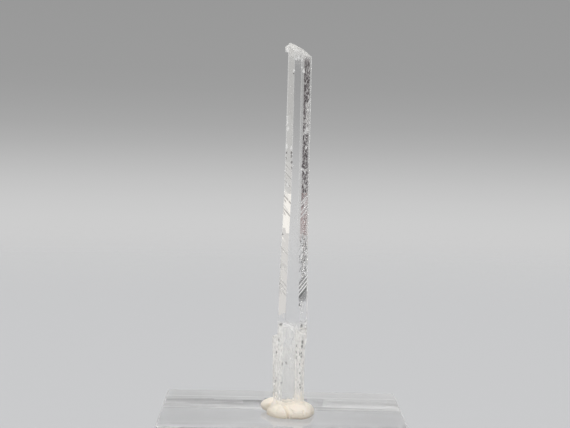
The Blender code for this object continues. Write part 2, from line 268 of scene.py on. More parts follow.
# Where the putty was pinched, in millimetres: the crease's two ends in plan, how deep it is (less
# than 0 is a ridge), its half-width, and the heights between which it runs.
CREASES = (
    ((0.10, -1.70), (0.70, -3.60), 0.26, 0.12, 12.6, 14.6),
    ((0.46, -2.10), (0.98, -3.60), -0.06, 0.13, 12.8, 14.6),
    ((0.84, -2.40), (1.16, -3.40), 0.10, 0.06, 13.35, 14.05),
    ((2.10, -2.40), (2.16, -3.50), 0.08, 0.05, 13.05, 13.75),
    ((-0.75, 0.10), (-2.10, 0.35), 0.18, 0.13, 12.6, 14.6),
    ((-0.20, -1.90), (-0.75, -2.60), 0.05, 0.12, 13.20, 13.90),
)


# Shader helpers -----------------------


class Socket:
    """An output socket that Python's operators extend with Math nodes."""

    def __init__(self, tree, link):
        self.tree = tree
        self.link = link

    def math(self, operation, *others):
        inputs = dict(enumerate((self, *others)))
        return self.tree.node("ShaderNodeMath", dict(operation=operation), inputs)

    def __add__(self, other):
        return self.math("ADD", other)

    __radd__ = __add__

    def __mul__(self, other):
        return self.math("MULTIPLY", other)

    __rmul__ = __mul__

    def __sub__(self, other):
        return self.math("SUBTRACT", other)

    def __rsub__(self, other):
        return self.tree.node("ShaderNodeMath", dict(operation="SUBTRACT"), {0: other, 1: self})

    def __truediv__(self, other):
        return self.math("DIVIDE", other)

    def __pow__(self, other):
        return self.math("POWER", other)

    def at_least(self, other):
        return self.math("MAXIMUM", other)

    def at_most(self, other):
        return self.math("MINIMUM", other)

    def away(self, other):
        """How far the value is from OTHER, to either side."""
        return (self - other).math("ABSOLUTE")

    def step(self, start, end, low=0.0, high=1.0):
        """A smooth ramp from LOW to HIGH as the value goes from START to END."""
        settings = dict(interpolation_type="SMOOTHSTEP")
        inputs = {"Value": self, "From Min": start, "From Max": end, "To Min": low, "To Max": high}
        return self.tree.node("ShaderNodeMapRange", settings, inputs)

    def band(self, low, high, soft):
        """1 between LOW and HIGH, falling to 0 over SOFT on either side."""
        return self.step(low - soft, low) * self.step(high + soft, high)


class Tree:
    """A node tree, with short ways to add nodes to it."""

    def __init__(self, owner):
        owner.use_nodes = True
        self.nodes = owner.node_tree.nodes
        self.links = owner.node_tree.links
        self.nodes.clear()

    def node(self, kind, settings=None, inputs=None, output=0):
        """Add a node of KIND, set SETTINGS, then fill or link INPUTS; gives its OUTPUT."""
        made = self.nodes.new(kind)
        for name, value in (settings or {}).items():
            if name == "stops":
                self.fill_ramp(made.color_ramp, value)
            else:
                setattr(made, name, value)
        for name, value in (inputs or {}).items():
            if isinstance(value, Socket):
                self.links.new(value.link, made.inputs[name])
            else:
                made.inputs[name].default_value = value
        return Socket(self, made.outputs[output]) if made.outputs else None

    @staticmethod
    def fill_ramp(ramp, stops):
        """Give RAMP its grey STOPS, each a place from 0 to 1 and a value."""
        while len(ramp.elements) < len(stops):
            ramp.elements.new(0.5)
        for element, (place, value) in zip(ramp.elements, stops):
            element.position = place
            element.color = (value, value, value, 1.0)

    def mix(self, factor, first, second):
        """A colour between FIRST and SECOND."""
        inputs = {0: factor, 6: first, 7: second}
        return self.node("ShaderNodeMix", dict(data_type="RGBA"), inputs, output=2)

    def place(self):
        """The place on the piece in millimetres, as a vector and as x, y and z."""
        metres = self.node("ShaderNodeTexCoord", None, None, output=3)
        vector = self.node("ShaderNodeVectorMath", dict(operation="SCALE"), {0: metres, "Scale": 1000.0})
        parts = [self.node("ShaderNodeSeparateXYZ", None, {0: vector}, output=i) for i in range(3)]
        return vector, parts

    def stretched(self, vector, scale):
        """VECTOR with each part times SCALE, a triple."""
        return self.node("ShaderNodeVectorMath", dict(operation="MULTIPLY"), {0: vector, 1: scale})

    def noise(self, vector, scale, detail, roughness=0.5):
        inputs = {"Vector": vector, "Scale": scale, "Detail": detail, "Roughness": roughness}
        return self.node("ShaderNodeTexNoise", None, inputs)

    def streaks(self, vector, scale, detail, roughness):
        """Noise that is finer along an axis where SCALE is larger."""
        return self.noise(self.stretched(vector, scale), 1.0, detail, roughness)

    def bump(self, height, distance):
        return self.node("ShaderNodeBump", None, {"Height": height, "Distance": distance})

    def principled(self, **sockets):
        inputs = {name.replace("_", " "): value for name, value in sockets.items()}
        return self.node("ShaderNodeBsdfPrincipled", None, inputs)

    def glass(self, color, ior, normal):
        return self.principled(Base_Color=color, Roughness=0.0, IOR=ior, Transmission_Weight=1.0,
                               Normal=normal)

    def blend(self, share, first, second):
        """A shader between FIRST and SECOND."""
        return self.node("ShaderNodeMixShader", None, {0: share, 1: first, 2: second})

    def finish(self, shader):
        self.node("ShaderNodeOutputMaterial", None, {"Surface": shader})


def material(name):
    made = bpy.data.materials.new(name)
    return made, Tree(made)


# Modelling helpers --------------------

MERGE_DISTANCE = 0.0005 * MM
CUT_THRESHOLD = 1e-7


def new_piece(name):
    """The primitive just added, named."""
    piece = bpy.context.object
    piece.name = name
    piece.data.name = name
    return piece


def only(piece):
    """Select PIECE alone and make it active."""
    bpy.ops.object.select_all(action="DESELECT")
    piece.select_set(True)
    bpy.context.view_layer.objects.active = piece


def edit(piece):
    """Open PIECE in edit mode with all of it selected."""
    only(piece)
    bpy.ops.object.mode_set(mode="EDIT")
    bpy.ops.mesh.select_all(action="SELECT")
    return bmesh.from_edit_mesh(piece.data)


def leave_edit():
    bpy.ops.object.mode_set(mode="OBJECT")


def choose_edges(piece, test):
    """In edit mode, select just the edges that pass TEST."""
    mesh = bmesh.from_edit_mesh(piece.data)
    bpy.ops.mesh.select_all(action="DESELECT")
    mesh.select_mode = {"EDGE"}
    bpy.context.tool_settings.mesh_select_mode = (False, True, False)
    for edge in mesh.edges:
        if test(edge):
            edge.select_set(True)
    mesh.select_flush_mode()
    bmesh.update_edit_mesh(piece.data)


def cut_level(height, **cleared):
    """Just after edit, cut level at HEIGHT, clear the side that CLEARED names and close the cut."""
    bpy.ops.mesh.bisect(plane_co=(0, 0, height), plane_no=(0, 0, 1), use_fill=True,
                        threshold=CUT_THRESHOLD, **cleared)


def settle(piece):
    """Put the piece's place into its mesh, so the object stands at the origin."""
    only(piece)
    bpy.ops.object.transform_apply(location=True, rotation=True, scale=True)


def apply_modifier(piece, kind, **settings):
    only(piece)
    modifier = piece.modifiers.new(kind.lower(), kind)
    for name, value in settings.items():
        setattr(modifier, name, value)
    bpy.ops.object.modifier_apply(modifier=modifier.name)


def put_in_order(piece):
    """Number the points and faces by their place: extruding and joining number them by chance."""
    mesh = piece.data
    places = [tuple(vert.co) for vert in mesh.vertices]
    order = sorted(range(len(places)), key=places.__getitem__)
    number = {old: new for new, old in enumerate(order)}
    faces = []
    for face in mesh.polygons:
        corners = [number[corner] for corner in face.vertices]
        first = corners.index(min(corners))
        faces.append(corners[first:] + corners[:first])
    mesh.clear_geometry()
    mesh.from_pydata([places[old] for old in order], [], sorted(faces))


def combine(piece, other, operation):
    """Join OTHER to PIECE or cut it away, and remove it."""
    apply_modifier(piece, "BOOLEAN", operation=operation, object=other, solver="EXACT")
    bpy.data.objects.remove(other)
    put_in_order(piece)


def clean(piece):
    """Merge doubled points and turn the faces out."""
    edit(piece)
    bpy.ops.mesh.remove_doubles(threshold=MERGE_DISTANCE)
    bpy.ops.mesh.normals_make_consistent(inside=False)
    leave_edit()
    put_in_order(piece)


def dress(piece, skin, node):
    """Give PIECE its material, let it stand for the CAD NODE, and let it ride."""
    piece.data.materials.clear()
    piece.data.materials.append(skin)
    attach(piece, "root")
    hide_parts(node)


# Studio -------------------------------


def build_camera():
    camera = bpy.data.objects.new("camera", bpy.data.cameras.new("camera"))
    bpy.context.scene.collection.objects.link(camera)
    turn = Euler((math.pi / 2 - CAMERA_TILT, 0.0, CAMERA_PAN)).to_matrix()
    turn = turn @ Matrix.Rotation(CAMERA_ROLL, 3, "Z")
    camera.matrix_world = Matrix.Translation(CAMERA_PLACE) @ turn.to_4x4()
    camera.data.sensor_width = SENSOR
    camera.data.lens = FOCAL_PIXELS * SENSOR / PICTURE_WIDTH
    camera.data.clip_start = NEAREST_SEEN
    camera.data.clip_end = FARTHEST_SEEN
    bpy.context.scene.camera = camera


def build_world():
    world = bpy.data.worlds.new("soft_studio")
    bpy.context.scene.world = world
    tree = Tree(world)
    direction = tree.node("ShaderNodeTexCoord")
    height = tree.node("ShaderNodeSeparateXYZ", None, {0: direction}, output=2)
    share = height.math("ARCSINE") * (1 / math.pi) + 0.5
    stops = [((degrees + 90) / 180, value) for degrees, value in BACKDROP]
    color = tree.node("ShaderNodeValToRGB", dict(stops=stops), {"Fac": share})
    light = tree.node("ShaderNodeBackground", None, {"Color": color, "Strength": 1.0})
    tree.node("ShaderNodeOutputWorld", None, {"Surface": light})


def build_floor():
    bpy.ops.mesh.primitive_circle_add(vertices=96, radius=FLOOR_RADIUS, fill_type="NGON",
                                      location=(0, 0, -FLOOR_DROP))
    floor = new_piece("studio_floor")
    settle(floor)
    made, tree = material("pale_floor")
    place, _ = tree.place()
    radius = tree.node("ShaderNodeVectorMath", dict(operation="LENGTH"), {0: place}, output=1)
    shown = radius.step(FLOOR_RADIUS / MM * 0.98, FLOOR_FADE / MM)
    tree.finish(tree.principled(Base_Color=FLOOR_COLOR, Roughness=0.9, Specular_IOR_Level=0.2, Alpha=shown))
    floor.data.materials.append(made)


def glowing_sheet(name, size, turn, middle, color):
    """A sheet of plain light that the camera can't see, and that only shows inside clear things."""
    bpy.ops.mesh.primitive_plane_add(size=1.0)
    made = new_piece(name)
    made.scale = (*size, 1)
    made.rotation_euler = turn
    made.location = middle
    settle(made)
    skin, tree = material(name)
    tree.finish(tree.node("ShaderNodeEmission", None, {"Color": (*color, 1.0), "Strength": 1.0}))
    made.data.materials.append(skin)
    made.visible_camera = made.visible_diffuse = made.visible_shadow = False


def around(where, distance, height):
    """The turn, middle and width of what fills the angle that WHERE gives, at a DISTANCE."""
    azimuth, degrees = where
    turn = -math.radians(azimuth)
    middle = Matrix.Rotation(turn, 3, "Z") @ Vector((0, distance, height))
    return turn, middle, 2 * distance * math.tan(math.radians(degrees / 2))


def card(name, where, low, high, color, distance=CARD_DISTANCE):
    """An upright card around the object."""
    turn, middle, width = around(where, distance, (low + high) / 2)
    glowing_sheet(name, (width, high - low), (math.pi / 2, 0, turn), middle, color)


def floor_sheet(name, where, near, far, color):
    """A sheet laid on the floor from NEAR to FAR."""
    turn, middle, width = around(where, (near + far) / 2, FLOOR_SHEET_LIFT)
    glowing_sheet(name, (width, far - near), (0, 0, turn), middle, color)


def back_sheet(name, left, right, low, high, grey):
    """A small sheet close behind the block, in millimetres."""
    middle = ((left + right) / 2 * MM, BACK_SHEET_DISTANCE, (low + high) / 2 * MM)
    size = ((right - left) * MM, (high - low) * MM)
    glowing_sheet(name, size, (math.pi / 2, 0, 0), middle, (grey, grey, BACK_SHEET_BLUE * grey))


def build_cards():
    card("black_flag_left", LEFT, 13 * MM, FLAG_TOP, BLACK)
    card("umber_card_left", LEFT, CARD_SINK, 13 * MM, UMBER)
    card("black_flag_side", SIDE, 0.0, FLAG_TOP, BLACK)
    floor_sheet("umber_sheet_side", SIDE, 235 * MM, 389 * MM, UMBER)
    second, third, fourth = (CARD_DISTANCE - step * CARD_STEP for step in (1, 2, 3))
    card("grey_card_right", RIGHT, 0.0, FLAG_TOP, (0.52, 0.515, 0.50))
    card("pale_card_right", RIGHT, 12 * MM, 40 * MM, (0.565, 0.56, 0.545), second)
    card("paler_card_right", RIGHT, 12 * MM, 23 * MM, (0.635, 0.625, 0.605), third)
    card("white_strip_right", RIGHT, CARD_SINK, 12.4 * MM, WHITE, fourth)
    floor_sheet("white_sheet_right", RIGHT, 311 * MM, fourth, WHITE)
    floor_sheet("warm_sheet_right", RIGHT, 165 * MM, 311 * MM, (0.69, 0.67, 0.645))
    for sheet in BACK_SHEETS:
        back_sheet(*sheet)
    card("front_card_left", FRONT_LEFT, *FRONT_CARD, (0.56, 0.56, 0.555))
    card("front_card_right", FRONT_RIGHT, *FRONT_CARD, (0.76, 0.76, 0.755))


def build_softbox():
    """A wide soft light high in front of the object, on the left."""
    light = bpy.data.lights.new("softbox", "AREA")
    light.shape = "RECTANGLE"
    light.size, light.size_y = SOFTBOX_SIZE
    light.energy = SOFTBOX_POWER
    softbox = bpy.data.objects.new("softbox", light)
    bpy.context.scene.collection.objects.link(softbox)
    softbox.location = SOFTBOX_PLACE
    aim = Vector(SOFTBOX_AIM) - softbox.location
    softbox.rotation_euler = aim.to_track_quat("-Z", "Y").to_euler()
    softbox.visible_camera = softbox.visible_glossy = softbox.visible_transmission = False


# The crystal --------------------------


def places_at(height):
    """The prism's seven places in x at a height, in millimetres, between the stations."""
    for lower, upper in zip(STATIONS, STATIONS[1:]):
        if height <= upper[0]:
            share = max(0.0, (height - lower[0]) / (upper[0] - lower[0]))
            return [a + share * (b - a) for a, b in zip(lower[1:], upper[1:])]
    return list(STATIONS[-1][1:])


def soften(corners):
    """Each corner as two points, a little way towards its neighbours."""
    points = []
    for before, corner, after in zip(corners[-1:] + corners[:-1], corners, corners[1:] + corners[:1]):
        for other in (before, after):
            away = Vector(other) - Vector(corner)
            points.append(Vector(corner) + away.normalized() * EDGE_SOFTENING)
    return points


def prism_ring(height, out_left=0.0, out_right=0.0, level=None):
    """The prism's outline; HEIGHT is that of its front edges, and the side edges are higher.

    With a LEVEL, in metres, the ring is flat and lies there.
    """
    left, front_left, front_right, bevel, right, back_left, back_right = places_at(height)
    low = height * MM
    high = low + LEDGE_RISE
    corners = [
        (front_left * MM, FRONT, low),
        (front_right * MM, FRONT, low),
        ((bevel + out_right) * MM, RIGHT_BEVEL_BACK, high - 0.2 * LEDGE_RISE),
        ((right + out_right) * MM, RIGHT_EDGE_BACK, high),
        (back_right * MM, BACK, low),
        (back_left * MM, BACK, low),
        ((left - out_left) * MM, LEFT_EDGE_BACK, high),
        ((left - out_left) * MM, LEFT_EDGE_FRONT, high),
    ]
    if level is not None:
        corners = [(x, y, level) for x, y, _ in corners]
    return soften(corners)


def stand_out(ledges, height):
    """How far the ledges stand out at HEIGHT, in millimetres."""
    for lip, reach, out in ledges:
        if lip - reach <= height <= lip:
            return out * (height - lip + reach) / reach
        if lip < height < lip + LEDGE_RISER:
            return out * (lip + LEDGE_RISER - height) / LEDGE_RISER
    return 0.0


def prism_rings():
    """All the outlines from the bottom up: one at each station and at each turn of a ledge."""
    heights = {station[0] for station in STATIONS[1:-1]}
    for lip, reach, _ in LEFT_LEDGES + RIGHT_LEDGES:
        heights.update((round(lip - reach, 4), lip, round(lip + LEDGE_RISER, 4)))
    rings = [prism_ring(CRYSTAL_BOTTOM / MM, level=CRYSTAL_BOTTOM)]
    for height in sorted(heights):
        rings.append(prism_ring(height, stand_out(LEFT_LEDGES, height), stand_out(RIGHT_LEDGES, height)))
    rings.append(prism_ring(CRYSTAL_TOP / MM, level=CRYSTAL_TOP + LEDGE_RISE))
    return rings


def model_prism():
    """A round of corners, placed, then pulled up from outline to outline."""
    rings = prism_rings()
    bpy.ops.mesh.primitive_circle_add(vertices=len(rings[0]), radius=1.5 * MM, fill_type="NGON",
                                      location=(0, 0, CRYSTAL_BOTTOM))
    prism = new_piece("nifontovite_prism")
    settle(prism)
    mesh = edit(prism)
    around = sorted(mesh.verts, key=lambda vert: math.atan2(vert.co.y, vert.co.x))
    for vert, point in zip(around, rings[0]):
        vert.co = point
    bmesh.update_edit_mesh(prism.data)
    for lower, upper in zip(rings, rings[1:]):
        bpy.ops.mesh.extrude_region_move(TRANSFORM_OT_translate={"value": (0, 0, 0)})
        mesh = bmesh.from_edit_mesh(prism.data)
        for vert in [v for v in mesh.verts if v.select]:
            vert.co = upper[lower.index(nearest(lower, vert.co))]
        bmesh.update_edit_mesh(prism.data)
    leave_edit()
    clean(prism)
    return prism


def nearest(points, place):
    return min(points, key=lambda point: (point - place).length_squared)


def model_column(name, outline, top, slope, foot_shift):
    """A small parallel crystal: OUTLINE in millimetres, a sloping top, and softened edges."""
    bpy.ops.mesh.primitive_cylinder_add(vertices=len(outline), radius=MM, depth=2 * MM)
    column = new_piece(name)
    mesh = edit(column)
    middle = sum((Vector(point) for point in outline), Vector((0, 0))) / len(outline)
    lower = [vert for vert in mesh.verts if vert.co.z < 0]
    upper = [vert for vert in mesh.verts if vert.co.z > 0]
    for high, ends in ((False, lower), (True, upper)):
        ends.sort(key=lambda vert: math.atan2(vert.co.y, vert.co.x))
        for vert, (x, y) in zip(ends, outline):
            if high:
                z = top + slope[0] * (x - middle.x) + slope[1] * (y - middle.y)
                vert.co = (x * MM, y * MM, z * MM)
            else:
                vert.co = ((x + foot_shift) * MM, y * MM, CRYSTAL_BOTTOM)
    choose_edges(column, lambda edge: abs(edge.verts[0].co.z - edge.verts[1].co.z) > 5 * MM)
    bpy.ops.mesh.bevel(offset=0.03 * MM, segments=2, affect="EDGES")
    leave_edit()
    clean(column)
    return column


def model_front_slab():
    """An overgrowth on the front face, wrapped onto the left bevel, whose top is a broken arch."""
    left, right = -0.50 * MM, 1.02 * MM
    crown, crown_share = SLAB_CROWN * MM, 0.38
    fall_left, fall_right = 0.22 * MM, 0.75 * MM
    crease, fold = -0.02 * MM, 0.55
    bpy.ops.mesh.primitive_cube_add(size=1.0, location=((left + right) / 2, FRONT, 0),
                                    scale=(right - left, 0.35 * MM, 1 * MM))
    slab = new_piece("front_slab")
    settle(slab)
    edit(slab)
    choose_edges(slab, lambda edge: abs(edge.verts[0].co.x - edge.verts[1].co.x) > 0.5 * MM)
    bpy.ops.mesh.subdivide(number_cuts=25)
    mesh = bmesh.from_edit_mesh(slab.data)
    for vert in mesh.verts:
        share = (vert.co.x - left) / (right - left)
        reach, fall = (crown_share, fall_left) if share < crown_share else (1 - crown_share, fall_right)
        is_top = vert.co.z > 0
        is_front = vert.co.y < FRONT
        chipped = 0.05 * MM * noise.noise(Vector((share * 14, 0.0, 4.0)))
        height = crown - fall * ((share - crown_share) / reach) ** 2 + chipped
        vert.co.z = height if is_top else CRYSTAL_BOTTOM
        thick = 0.06 * MM if is_top else 0.16 * MM
        vert.co.y = FRONT - thick if is_front else FRONT + 0.30 * MM
        vert.co.y += fold * max(0.0, crease - vert.co.x)
    bmesh.update_edit_mesh(slab.data)
    choose_edges(slab, lambda edge: all(
        v.co.z > 20 * MM and v.co.y < FRONT + fold * max(0.0, crease - v.co.x) for v in edge.verts))
    bpy.ops.mesh.bevel(offset=0.035 * MM, segments=2, affect="EDGES")
    leave_edit()
    clean(slab)
    return slab


def model_end_cutter():
    """What is broken off the top: its underside is the oblique end, with a fine grain and etch pits."""
    bpy.ops.mesh.primitive_grid_add(x_subdivisions=76, y_subdivisions=60, size=1.0)
    cutter = new_piece("end_cutter")
    cutter.scale = (3.8 * MM, 3.0 * MM, 1)
    cutter.location = (MM, -0.6 * MM, 0)
    settle(cutter)
    mesh = edit(cutter)
    for vert in mesh.verts:
        x, y = vert.co.x / MM, vert.co.y / MM
        slope = END_HEIGHT + END_SLOPE_X * x + END_CURVE * x ** 2 + END_SLOPE_Y * y
        grain = 0.016 * noise.fractal(Vector((4.2 * x, 4.2 * y, 2.0)), 1.0, 2.0, 3)
        pits = 0.16 * max(0.0, noise.noise(Vector((6.5 * x, 6.5 * y, 9.0))) - 0.12)
        vert.co.z = (slope + grain - pits) * MM
    bmesh.update_edit_mesh(cutter.data)
    bpy.ops.mesh.extrude_region_move(TRANSFORM_OT_translate={"value": (0, 0, 4 * MM)})
    leave_edit()
    clean(cutter)
    return cutter


def model_nicks():
    """The nicks and etch pits as one set of little cutting stones."""
    bpy.ops.mesh.primitive_ico_sphere_add(subdivisions=2, radius=MM)
    stone = new_piece("nick_stone")
    mesh = edit(stone)
    for vert in mesh.verts:
        vert.co *= 1.0 + 0.22 * noise.noise(vert.co / MM * 1.9)
    bmesh.update_edit_mesh(stone.data)
    leave_edit()
    stones = []
    for x, y, z, half_x, half_y, half_z, turn in NICKS:
        only(stone)
        bpy.ops.object.duplicate()
        copy = bpy.context.object
        copy.scale = (half_x, half_y, half_z)
        copy.rotation_euler = (0, math.radians(turn), math.radians(3 * turn))
        copy.location = (x * MM, y * MM, z * MM)
        stones.append(copy)
    bpy.data.objects.remove(stone)
    only(stones[0])
    for other in stones[1:]:
        other.select_set(True)
    bpy.ops.object.join()
    nicks = new_piece("nicks")
    settle(nicks)
    return nicks


def model_end_nub():
    nub = model_column("end_nub", *NUB)
    edit(nub)
    cut_level(NUB_BOTTOM, clear_inner=True)
    leave_edit()
    clean(nub)
    return nub


def model_crystal():
    """The prism with all that has grown onto it, broken off on top."""
    crystal = model_prism()
    columns = [model_column(name, *column) for name, column in COLUMNS.items()]
    for grown in (*columns, model_front_slab(), model_end_nub()):
        combine(crystal, grown, "UNION")
    for removed in (model_end_cutter(), model_nicks()):
        combine(crystal, removed, "DIFFERENCE")
    clean(crystal)
    crystal.name = "nifontovite_crystal_clear"
    only(crystal)
    bpy.ops.object.shade_flat()
    return crystal


def upright_edge(tree, z, column):
    """The x of one of the prism's upright edges at each height, held in a ramp that only has 0 to 1."""
    lowest, span = -1, 4
    low, high = STATIONS[0][0], STATIONS[-1][0]
    stops = [((station[0] - low) / (high - low), (station[column] - lowest) / span) for station in STATIONS]
    share = (z - low) / (high - low)
    return tree.node("ShaderNodeValToRGB", dict(stops=stops), {"Fac": share}) * span + lowest


def dots(tree, place, marks):
    """1 in each of the ragged MARKS, which are taller than wide and reach well into the crystal."""
    squeezed = tree.stretched(place, (1.0, 0.15, 0.5))
    ragged = 0.20 * (tree.noise(place, 8.0, 1.0) - 0.5)
    found = None
    for x, y, z, radius in marks:
        inputs = {0: squeezed, 1: (x, 0.15 * y, 0.5 * z)}
        away = tree.node("ShaderNodeVectorMath", dict(operation="DISTANCE"), inputs, output=1)
        dot = (away + ragged).step(1.45 * radius, 0.85 * radius)
        found = dot if found is None else found.at_least(dot)
    return found


def lines_at(value, heights, half_width):
    """1 on a thin line at each of the HEIGHTS."""
    found = None
    for height in heights:
        line = value.away(height).step(half_width, 0.5 * half_width)
        found = line if found is None else found.at_least(line)
    return found


def broken_end(tree, place, x, y, z):
    """The broken end is frosted, ragged at its lower rim and pitted towards the right, where the pits get
    painted shade.
    """
    under = END_HEIGHT + END_SLOPE_X * x + END_CURVE * x * x + END_SLOPE_Y * y - z
    ragged = tree.noise(place, 5.0, 2.0, 0.65)
    pits = tree.noise(place, 6.5, 1.0, 0.5).step(0.53, 0.60) * x.step(0.4, 1.2, 0.1, 1.0)
    depth = (0.95 - 0.44 * x).at_least(0.06)
    nub = z.step(49.85, 49.95) * x.step(0.05, -0.05)
    frosted = (under - depth + 0.9 * (ragged - 0.5)).step(0.14, -0.14).at_least(nub)
    dusted = (under + 2.4 * (ragged - 0.5)).step(1.9, 0.4)
    return Group(frosted=frosted, dusted=dusted, pits=pits, ragged=ragged)


def overgrown_foot(tree, place, x, y, z):
    """The foot is veiled by upright streaks, clears lower down, and is smeared with putty below."""
    upright = tree.streaks(place, (2.6, 2.6, 0.9), 3.0, 0.6)
    veil = (0.55 + 0.45 * upright.step(0.40, 0.60)) * z.step(15.0, 19.4, 0.22, 1.0) * z.step(22.6, 22.0)
    columns = (x.step(0.0, -0.15) + x.step(1.18, 1.28)).at_most(1.0) * z.step(21.9, 21.4)
    mottles = tree.streaks(place, (4.5, 4.5, 2.4), 2.0, 0.6)
    column_veil = columns * (0.62 + 0.38 * mottles.step(0.44, 0.58)) * x.step(1.0, 1.2, 1.0, 1.3)
    # The crown is a painted highlight along the overgrowth's broken top.
    arch = SLAB_CROWN - 0.62 * (x - 0.08).at_least(0.0) ** 2.0 - z
    crown = arch.band(-0.10, 0.30, 0.12) * x.band(-0.30, 0.98, 0.06) * y.step(-1.45, -1.55)
    smear = (z + 4.0 * (mottles - 0.5)).step(15.5, 14.5) * (x + 0.9 * (mottles - 0.5)).step(0.95, 1.35)
    rim = z + 0.5 * (mottles - 0.5) + (2.2 * (mottles - 0.5) - 0.45) * x.step(-0.5, -0.8)
    smear = smear.at_least(rim.step(14.40, 14.26))
    return Group(veil=veil, column_veil=column_veil, crown=crown, smear=smear)


def bright_edges(x, y, z, edges, on_front, broken):
    """The crystal's upright edges and the columns' corners catch the light."""
    arris = x.away(edges.front_left).step(0.06, 0.02) * on_front * z.step(24.6, 26.0)
    arris = arris * broken.step(0.28, 0.56, 0.2, 1.0)
    above_foot = z.step(22.6, 24.0)
    arris = arris + (x - edges.left).step(0.10, 0.04) * above_foot * broken.step(0.28, 0.50, 0.6, 1.3)
    arris = arris + (edges.right - x).step(0.14, 0.06) * above_foot * broken.step(0.28, 0.50, 0.7, 1.6)
    strip = (x - edges.front_right).band(-0.30, 0.0, 0.03) * on_front * z.band(33.0, 49.6, 1.0)
    strip_edge = (x - edges.front_right).away(-0.29).step(0.05, 0.015) * strip
    corners = 0.0
    for corner in (-1.05, -0.66, -0.34, 2.17):
        corners = x.away(corner).step(0.06, 0.02) + corners
    corners = corners * z.step(21.0, 20.6) * y.step(-0.8, -1.0) * broken.step(0.40, 0.60)
    return Group(arris=arris, strip=strip, strip_edge=strip_edge, corners=corners)


def etched_bevel(tree, place, x, y, z, edges, on_front):
    """The right bevel: painted shade in close pits drawn out upwards and in dark bars, a painted reflection
    in a warm tan, and painted highlights as white flecks and lines among them.
    """
    across = (x - edges.front_right) / (edges.bevel - edges.front_right)
    on_bevel = across.step(-0.04, 0.02) * y.step(-0.66, -0.76)
    pitted = tree.streaks(place, (5.2, 5.2, 3.2), 2.0, 0.6)
    flecks = tree.streaks(place, (5.4, 5.4, 3.4), 1.0, 0.5)
    upper = z.band(35.7, 49.1, 0.15)
    eased = z.band(41.9, 44.9, 0.25) * across.step(0.30, 0.48)
    # Painted tan reflection: a warm wedge that the colourless bevel shows.
    brown = z.band(31.5, 35.7, 0.12) * across.band(0.52 * (32.7 - z).at_least(0.0), 1.2, 0.1)
    grainy = z.band(27.8, 31.2, 0.5)
    up_right = z - 1.18 * (x - edges.front_right)
    # Painted dark bars between the growth steps, and a painted dark patch below them.
    barred = up_right.band(25.0, 26.62, 0.06) * z.step(27.45, 27.15)
    lower_patch = up_right.step(25.3, 25.14) * z.step(24.55, 24.75)
    lines = lines_at(up_right, RIGHT_LINES, 0.14)
    # Everything summed here is painted shade; the white below is painted highlight.
    hollows = (upper * pitted.step(0.535, 0.485) * (1 - eased) * 1.15
               + brown * (0.60 - 0.30 * flecks.step(0.49, 0.57)) * z.step(33.3, 33.9, 0.92, 0.62)
               * (1 - 0.9 * lines)
               + grainy * pitted.step(0.49, 0.42) * 0.75
               + barred * (0.78 - lines) + lower_patch * 0.64).at_least(0.0) * on_bevel
    white = (upper * flecks.step(0.55, 0.59) * 0.90 + eased * upper * flecks.step(0.46, 0.54, 0.22, 0.85)
             + grainy * flecks.step(0.52, 0.60) * 0.30
             + lines * (barred + brown).at_most(1.0) * 0.90) * on_bevel
    dust = on_front * z.band(29.0, 34.0, 1.5) * x.band(0.55, 2.0, 0.3) * flecks.step(0.54, 0.60)
    relief = 0.26 * on_bevel * (upper + 0.5 * grainy) * pitted
    return Group(hollows=hollows, white=white, dust=dust, relief=relief,
                 lines=lines * on_bevel, brown=brown * on_bevel)


def grown_bevel(x, z, edges, broken):
    """The left bevel's growth lines, each a painted highlight over a painted shade, and painted dark lines
    of shade along them.
    """
    up_left = z + 1.05 * (x - edges.front_left)
    on_left = (edges.front_left - x).step(-0.02, 0.04) * z.step(23.5, 24.0)
    # Painted highlight lines, painted shade just under each, and painted dark lines.
    lines = lines_at(up_left, LEFT_LINES, 0.11) * on_left
    shades = lines_at(up_left + 0.17, LEFT_LINES, 0.08) * on_left * broken.step(0.35, 0.55)
    cracks = lines_at(up_left, LEFT_SHADED_LINES, 0.14) * on_left * broken.step(0.25, 0.42)
    return Group(lines=lines, shades=shades, cracks=cracks)


